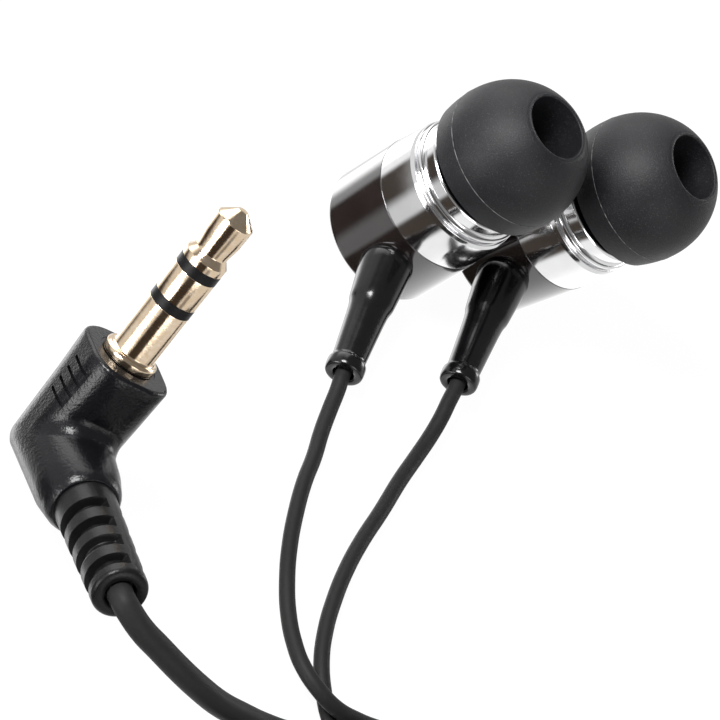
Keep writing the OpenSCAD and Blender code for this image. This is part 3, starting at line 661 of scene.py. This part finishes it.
PIN_R, PIN_LEN, TIP_LEN, BAND, RING = 1.75, 14, 5.3, 0.8, 2.5
SLEEVE = PIN_LEN - TIP_LEN - 2 * BAND - RING
ROD, TUBE_IN, TUBE_OUT, SLEEVE_IN = 0.55, 0.25, 0.45, 0.7  # the last three are from the rod's surface
COLLAR_R, COLLAR_H = 2.2, 0.76
ROOT_R = 1.4
HEAD_W, ELBOW_W, FLAT_F, HEEL_R, THROAT_R, RIB_R = 3.6, 3.1, 3.45, 0.8, 1.2, 2.15
GUARD = 0.12
SLOTS, SLOT_Z, SLOT_PITCH, SLOT_W, SLOT_DEPTH = 4, -2.63, 1.02, 0.26, 0.3


def make_contacts():
    z = PIN_LEN - TIP_LEN
    ring_z = SLEEVE + BAND
    contacts = (
        ("plug_tip", "tip_contact", eased([
            (0, -2.6), (ROD, -2.6), (ROD, z), (PIN_R, z, 0.05), (PIN_R, z + 0.62, 0.1),
            (PIN_R - 0.14, z + 0.8, 0.06), (1.33, z + 1.2, 0.12), (1.33, z + 1.45, 0.2),
            (PIN_R - 0.24, z + 2.6, 0.6), (PIN_R - 0.22, z + 4.15, 0.06), (PIN_R - 0.3, z + 4.27, 0.04),
            (0.42, PIN_LEN - 0.14, 0.12), (0, PIN_LEN)], 0.02, 5)),
        ("plug_ring", "ring_contact", eased([
            (ROD + TUBE_IN, -2.2), (ROD + TUBE_OUT, -2.2), (ROD + TUBE_OUT, ring_z), (PIN_R, ring_z, 0.05),
            (PIN_R, ring_z + RING, 0.05), (ROD + TUBE_IN, ring_z + RING)], 0.0)),
        ("plug_sleeve", "sleeve_contact", eased([
            (ROD + SLEEVE_IN, -1.8), (ROOT_R, -1.8), (ROOT_R, -COLLAR_H), (COLLAR_R, -COLLAR_H, 0.05),
            (COLLAR_R, -0.2, 0.12), (COLLAR_R - 0.2, 0, 0.08), (PIN_R + 0.12, 0, 0.05), (PIN_R, 0.12, 0.1),
            (PIN_R, SLEEVE, 0.05), (ROD + SLEEVE_IN, SLEEVE)], 0.0)))
    for name, node, outline in contacts:
        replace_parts(lathe(name, outline, PLUG, "gold", sharp=30), node)
    insulators = (
        ("plug_front_band", "front_insulator", [
            (ROD, -2.4), (ROD + TUBE_IN, -2.4), (ROD + TUBE_IN, z - BAND), (PIN_R, z - BAND), (PIN_R, z),
            (ROD, z)]),
        ("plug_rear_band", "rear_insulator", [
            (ROD + TUBE_OUT, -2), (ROD + SLEEVE_IN, -2), (ROD + SLEEVE_IN, SLEEVE), (PIN_R, SLEEVE),
            (PIN_R, SLEEVE + BAND), (ROD + TUBE_OUT, SLEEVE + BAND)]))
    for name, node, outline in insulators:
        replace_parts(lathe(name, outline, PLUG, "band", sharp=30), node)


def body_ring(z, w, f, r):
    """A section of the barrel round the pin."""
    return [(x, y, z) for x, y in round_rect(w, f, r, guard=GUARD)]


def cord_ring(b, w, f, r):
    """A section of the barrel round the cord."""
    return [(b, y, x - ELBOW_DROP) for x, y in round_rect(w, f, r, guard=GUARD)]


def bend_ring(a, w, f, r):
    """A section of the elbow, a degrees round from the pin's barrel."""
    c, s = math.cos(math.radians(a)), math.sin(math.radians(a))
    ring = []
    for x, y in round_rect(w, f, r, guard=GUARD):
        bend = HEEL_R + (THROAT_R - HEEL_R) * (x + w) / (2 * w)
        ring.append((x + bend * (1 - c), y, x - ELBOW_DROP + bend * (1 - s)))
    return ring


def cut(piece, vertices, faces):
    """Takes a closed tool shape, in the plug's frame, out of a piece."""
    tool_mesh = bpy.data.meshes.new("cutter")
    tool_mesh.from_pydata([PLUG @ Vector(v) * MM for v in vertices], [], faces)
    tool = bpy.data.objects.new("cutter", tool_mesh)
    bpy.context.scene.collection.objects.link(tool)
    bpy.context.view_layer.update()
    modifier = piece.modifiers.new("cut", "BOOLEAN")
    modifier.operation, modifier.object, modifier.solver = "DIFFERENCE", tool, "EXACT"
    graph = bpy.context.evaluated_depsgraph_get()
    made = bpy.data.meshes.new_from_object(piece.evaluated_get(graph), depsgraph=graph)
    piece.modifiers.clear()
    piece.data = made
    bpy.data.objects.remove(tool)


def box_data(low, high):
    (x0, y0, z0), (x1, y1, z1) = low, high
    vertices = [(x, y, z) for z in (z0, z1) for y in (y0, y1) for x in (x0, x1)]
    return vertices, [(0, 2, 3, 1), (4, 5, 7, 6), (0, 1, 5, 4), (2, 6, 7, 3), (0, 4, 6, 2), (1, 3, 7, 5)]


def make_plug_body():
    """The angled moulding, hollowed for the contacts, with short slots across one flat."""
    rings = [body_ring(-COLLAR_H - down, HEAD_W - less, FLAT_F - less, r) for down, less, r in (
        (0, 0.3, 2.4), (0.04, 0.19, 2.43), (0.12, 0.1, 2.45), (0.22, 0.03, 2.48), (0.35, 0, 2.5))]
    rings += [body_ring(-COLLAR_H - 1.1, HEAD_W - 0.05, FLAT_F, 2.5),
              body_ring(-4.4, (HEAD_W + ELBOW_W) / 2, FLAT_F, 2.5)]
    rings += [bend_ring(90 * i / 12, ELBOW_W, FLAT_F, 2.4 + 0.5 * i / 12) for i in range(13)]
    rings += [cord_ring(BARREL_B + b, ELBOW_W - less_w, FLAT_F - less_f, r) for b, less_w, less_f, r in (
        (-1.6, 0.05, 0.15, 2.9), (-0.6, 0.14, 0.37, 2.84), (0, 0.2, 0.5, 2.8), (0.28, 0.25, 0.56, 2.76),
        (0.5, 0.33, 0.65, 2.7), (0.7, 0.4, 0.74, 2.65))]
    rings += [cord_ring(BARREL_B + b, RIB_R + more, RIB_R + more, RIB_R + r) for b, more, r in (
        (0.85, 0.47, 0.45), (0.94, 0.41, 0.39), (1, 0.32, 0.3))]
    vertices, faces = loft_data(rings)
    body = finish_mesh("plug_moulding", vertices, faces, PLUG, "spark", sharp=35)
    cut(body, *lathe_data([(0, -3.2), (ROOT_R + 0.05, -3.2), (ROOT_R + 0.05, -COLLAR_H - 0.05),
                           (COLLAR_R + 0.25, -COLLAR_H - 0.05), (COLLAR_R + 0.25, 1), (0, 1)], 64))
    for i in range(SLOTS):
        z = SLOT_Z - SLOT_PITCH * i
        cut(body, *box_data((-0.5, -FLAT_F - 1, z), (2.6, -FLAT_F + SLOT_DEPTH, z + SLOT_W)))
    body.data.polygons.foreach_set("use_smooth", [True] * len(body.data.polygons))
    body.data.set_sharp_from_angle(angle=math.radians(35))
    even = body.modifiers.new("even_normals", "WEIGHTED_NORMAL")
    even.keep_sharp = True
    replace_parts(body, "plug_body")


GROOVES, RIB_PITCH, GROOVE_W, GROOVE_R, GROOVE_EDGE = 4, 2.24, 1.12, 1.6, 0.12
RIB_GROW, BOOT_COLLAR, BOOT_ROUND, WEB_AT, WEB_HALF, WEB_EDGE = 0.22, 1.05, 0.45, 0.35, 0.68, 0.14


def boot_radii(z):
    """The boot's outer radius at z, and how far into a groove that is, from 0 to 1."""
    first = BOOT_LEN - BOOT_COLLAR - GROOVE_W - (GROOVES - 1) * RIB_PITCH
    depth = max(smooth((z - a + 0.03) / GROOVE_EDGE) * smooth((a + GROOVE_W + 0.03 - z) / GROOVE_EDGE)
                for a in (first + RIB_PITCH * k for k in range(GROOVES)))
    past_end = max(0, (z - BOOT_LEN + BOOT_ROUND) / BOOT_ROUND)
    return (RIB_R + RIB_GROW * max(0, 1 - z / (BOOT_LEN - BOOT_ROUND))
            - BOOT_ROUND * (1 - math.sqrt(max(0, 1 - past_end ** 2)))), depth


def make_boot():
    """Round ribs with grooves, which a web crosses on the pin's side and on the far side."""
    place = PLUG @ Matrix.Translation((BOOT_B, 0, -ELBOW_DROP)) @ turn(90, "Y")
    stations, around = 170, 96
    rings = []
    for i in range(stations + 1):
        z = BOOT_LEN * i / stations
        outer, depth = boot_radii(z)
        ring = []
        for k in range(around):
            t = 2 * math.pi * k / around
            web = smooth((abs(math.sin(t) * outer - WEB_AT) - WEB_HALF) / WEB_EDGE)
            r = outer - (outer - GROOVE_R) * depth * web
            ring.append((r * math.cos(t), r * math.sin(t), z))
        rings.append(ring)
    hole = MAIN_D / 2 + 0.2
    rings += [oval(r, r, z, around) for r, z in (
        (hole + 0.12, BOOT_LEN), (hole + 0.03, BOOT_LEN - 0.04), (hole, BOOT_LEN - 0.14),
        (hole, BOOT_LEN - 0.8))]
    vertices, faces = loft_data(rings)
    boot = finish_mesh("ribbed_boot", vertices, faces, place, "boot", sharp=45)
    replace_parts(boot, "plug_boot")


# Distance from the ear cords' end, half width and half height.
SPLIT_STATIONS = [
    (0, 1.75, 1.05), (0.12, 1.95, 1.25), (0.35, 2.2, 1.48), (0.8, 2.38, 1.65), (3, 2.45, 1.75),
    (5.5, 2.32, 1.75), (8, 2.1, 1.75), (10, 1.9, 1.71), (12, 1.7, 1.65), (13.2, 1.6, 1.55),
    (13.7, 1.52, 1.46), (13.95, 1.38, 1.32), (14, 1.2, 1.15)]


def make_splitter():
    rings = [[(SPLIT_X + x, SPLIT_Y - s, SPLIT_T / 2 + y) for x, y in round_rect(w, t, t - 0.1, 7)]
             for s, w, t in SPLIT_STATIONS]
    vertices, faces = loft_data(rings)
    faces = [face[::-1] for face in faces]
    piece = finish_mesh("splitter_shell", vertices, faces, Matrix.Identity(4), "splitter",
                        sharp=50)
    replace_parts(piece, "cord_splitter")
    return piece


TIE_HALF_W, TIE_GAP = 1.25, 0.1


def make_tie(name, mid, angle, r_in, r_out, height, node):
    """A soft strap once round a coil, with rounded corners."""
    outer = eased([(r_in - TIE_T, 0), (r_out + TIE_T, 0), (r_out + TIE_T, height + TIE_T),
                   (r_in - TIE_T, height + TIE_T)], 0.8, 6)
    inner = eased([(r_in, TIE_T), (r_out, TIE_T), (r_out, height), (r_in, height)], 0.5, 6)
    n = len(outer)
    vertices = [(x, y, z) for loop in (outer, inner) for y in (-TIE_HALF_W, TIE_HALF_W) for x, z in loop]
    faces = []
    for i in range(n):
        j = (i + 1) % n
        faces += [(i, j, n + j, n + i), (2 * n + i, 3 * n + i, 3 * n + j, 2 * n + j),
                  (i, 2 * n + i, 2 * n + j, j), (n + i, n + j, 3 * n + j, 3 * n + i)]
    place = Matrix.Translation((mid[0], mid[1], 0)) @ turn(angle, "Z")
    piece = finish_mesh(name, vertices, faces, place, "strap", sharp=50)
    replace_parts(piece, node)
    return piece


# ---------------------------------------------------------------- nodes that keep their solid

KEPT = {
    "nozzle_mesh": "mesh", "driver_frame": "frame", "driver_yoke": "zinc", "driver_magnet": "magnet",
    "driver_top_plate": "zinc", "voice_coil": "copper", "diaphragm": "film", "rear_damper": "felt",
}


def dress_kept():
    for side in SIDES:
        for node, finish in KEPT.items():
            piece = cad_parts[f"{side}_{node}"]
            piece.data.materials.clear()
            piece.data.materials.append(FINISH[finish])


# ---------------------------------------------------------------- studio

def make_floor():
    """A white table, which glossy pieces don't mirror: the world has a table of its own for them."""
    mesh = bpy.data.meshes.new("floor")
    size, low = 3.0, -0.0002
    corners = [(-size, -size, low), (size, -size, low), (size, size, low), (-size, size, low)]
    mesh.from_pydata(corners, [], [(0, 1, 2, 3)])
    floor = bpy.data.objects.new("floor", mesh)
    bpy.context.scene.collection.objects.link(floor)
    made, f = material("studio_floor")
    rays = f.node("ShaderNodeLightPath", out="Is Camera Ray")
    paper = f.node("ShaderNodeBsdfDiffuse", {}, {"Color": grey(0.88)})
    lit = f.node("ShaderNodeEmission", {}, {"Color": grey(1.0), "Strength": 1.07})
    both = f.node("ShaderNodeMixShader", {}, {0: rays * 0.9, 1: paper, 2: lit})
    f.node("ShaderNodeOutputMaterial", {}, {"Surface": both})
    mesh.materials.append(made)
    floor.visible_glossy = False


def make_world():
    """White for the camera and a weak even light, with windows and cards that only glossy pieces mirror.

    Strips run between azimuths in degrees from +X towards +Y, and z is the sine of the height above level.
    """
    world = bpy.data.worlds.new("studio")
    bpy.context.scene.world = world
    world.use_nodes = True
    f = Finish(world.node_tree)
    where = f.node("ShaderNodeTexCoord", out="Generated")
    x, y, z = (f.node("ShaderNodeSeparateXYZ", {}, {0: where}, out=axis) for axis in "XYZ")
    around = f.node("ShaderNodeMath", {"operation": "ARCTAN2"}, {0: y, 1: x}) * (180 / math.pi)

    def strip(a, b, edge):
        return around.step(a - edge, a + edge) * (1 - around.step(b - edge, b + edge))

    table = 1 - z.step(-0.6, -0.42)
    level = z.step(-0.34, -0.22) * (1 - z.step(0.12, 0.22))
    sky = z.step(0.3, 0.55)
    back_dark = (strip(158, 190, 6) + strip(-190, -148, 10)) * table
    front_dark = strip(-114, -71, 5) + 0.7 * strip(-62, -46, 4) * level
    on_table = 1.0 + 2.1 * strip(100, 135, 10) - 0.35 * strip(-156, -112, 10) + 0.25 * strip(-25, 60, 20)
    above = 0.82 + 9 * strip(-148, -113, 4) * z.step(-0.36, -0.28) * (1 - z.step(-0.1, 0.04))
    bright = above + (on_table - above) * table
    cards = (2.5 * strip(116, 153, 9) * z.step(-0.2, 0) * (1 - z.step(0.66, 0.8))
             + 7 * strip(42, 53, 3) * z.step(0.12, 0.2) * (1 - z.step(0.42, 0.5)))
    studio = f.mix((back_dark + front_dark) * (1 - sky), (1, 1, 1), (0.06, 0.048, 0.04))
    strength = bright + (0.22 - bright) * sky + cards
    glossy = f.node("ShaderNodeBackground", {}, {"Color": studio, "Strength": strength})
    plain = f.node("ShaderNodeBackground", {}, {"Color": grey(1.0), "Strength": 0.25})
    white = f.node("ShaderNodeBackground", {}, {"Color": grey(1.0), "Strength": 1.0})
    is_glossy = f.node("ShaderNodeLightPath", out="Is Glossy Ray")
    is_camera = f.node("ShaderNodeLightPath", out="Is Camera Ray")
    is_clear = f.node("ShaderNodeLightPath", out="Is Transmission Ray")
    lit = f.node("ShaderNodeMixShader", {}, {0: is_glossy, 1: plain, 2: glossy})
    seen = f.node("ShaderNodeMath", {"operation": "MAXIMUM"}, {0: is_camera, 1: is_clear})
    both = f.node("ShaderNodeMixShader", {}, {0: seen, 1: lit, 2: white})
    f.node("ShaderNodeOutputWorld", {}, {"Surface": both})


LAMPS_FACE = Vector((0, -20, 8))


def softbox(name, azimuth, elevation, distance, size, power):
    """azimuth is measured from +X towards +Y."""
    data = bpy.data.lights.new(name, "AREA")
    data.shape, data.size, data.size_y, data.energy = "RECTANGLE", size[0] * MM, size[1] * MM, power
    lamp = bpy.data.objects.new(name, data)
    a, e = math.radians(azimuth), math.radians(elevation)
    away = Vector((math.cos(a) * math.cos(e), math.sin(a) * math.cos(e), math.sin(e)))
    lamp.location = (LAMPS_FACE + away * distance) * MM
    lamp.rotation_mode = "QUATERNION"
    lamp.rotation_quaternion = away.to_track_quat("Z", "Y")
    bpy.context.scene.collection.objects.link(lamp)


# ---------------------------------------------------------------- assembly

make_camera()
left_jacket, right_jacket, main_jacket = make_cords()
for side in SIDES:
    make_shell(side)
    make_tip(side)
    make_stem(side)
make_contacts()
make_plug_body()
make_boot()
splitter = make_splitter()
main_in = MAIN_OUT - MAIN_PITCH * MAIN_TURNS / LAYERS
ear_in = EAR_OUT - 2 * EAR_PITCH * EAR_TURNS / LAYERS
make_tie("main_strap", MAIN_MID, -45, main_in - MAIN_D / 2 - TIE_GAP, MAIN_OUT + MAIN_D / 2 + TIE_GAP,
         MAIN_Z + (LAYERS - 1) * MAIN_PITCH + MAIN_D / 2 + 0.05, "main_coil_tie")
ear_tie = make_tie("ear_strap", EAR_MID, 180, ear_in - EAR_PITCH / 2 - EAR_D / 2 - TIE_GAP,
                   EAR_OUT + EAR_PITCH / 2 + EAR_D / 2 + TIE_GAP,
                   EAR_Z + (LAYERS - 1) * EAR_PITCH + EAR_D / 2 + 0.05, "ear_coil_tie")
declare_cord(*left_jacket, EAR_D, "fitting", [splitter])
declare_cord(*right_jacket, EAR_D, "fitting", [splitter, ear_tie])
declare_cord(*main_jacket, MAIN_D, "plug", [bpy.data.objects[name] for name in (
    "plug_moulding", "ribbed_boot", "main_strap", "plug_tip", "plug_ring", "plug_sleeve", "plug_front_band",
    "plug_rear_band")])
dress_kept()
make_floor()
make_world()
bpy.context.scene.view_settings.view_transform = "Standard"
softbox("key_softbox", -162, 40, 500, (200, 200), 3.3)
softbox("fill_softbox", -60, 30, 600, (300, 300), 0.8)
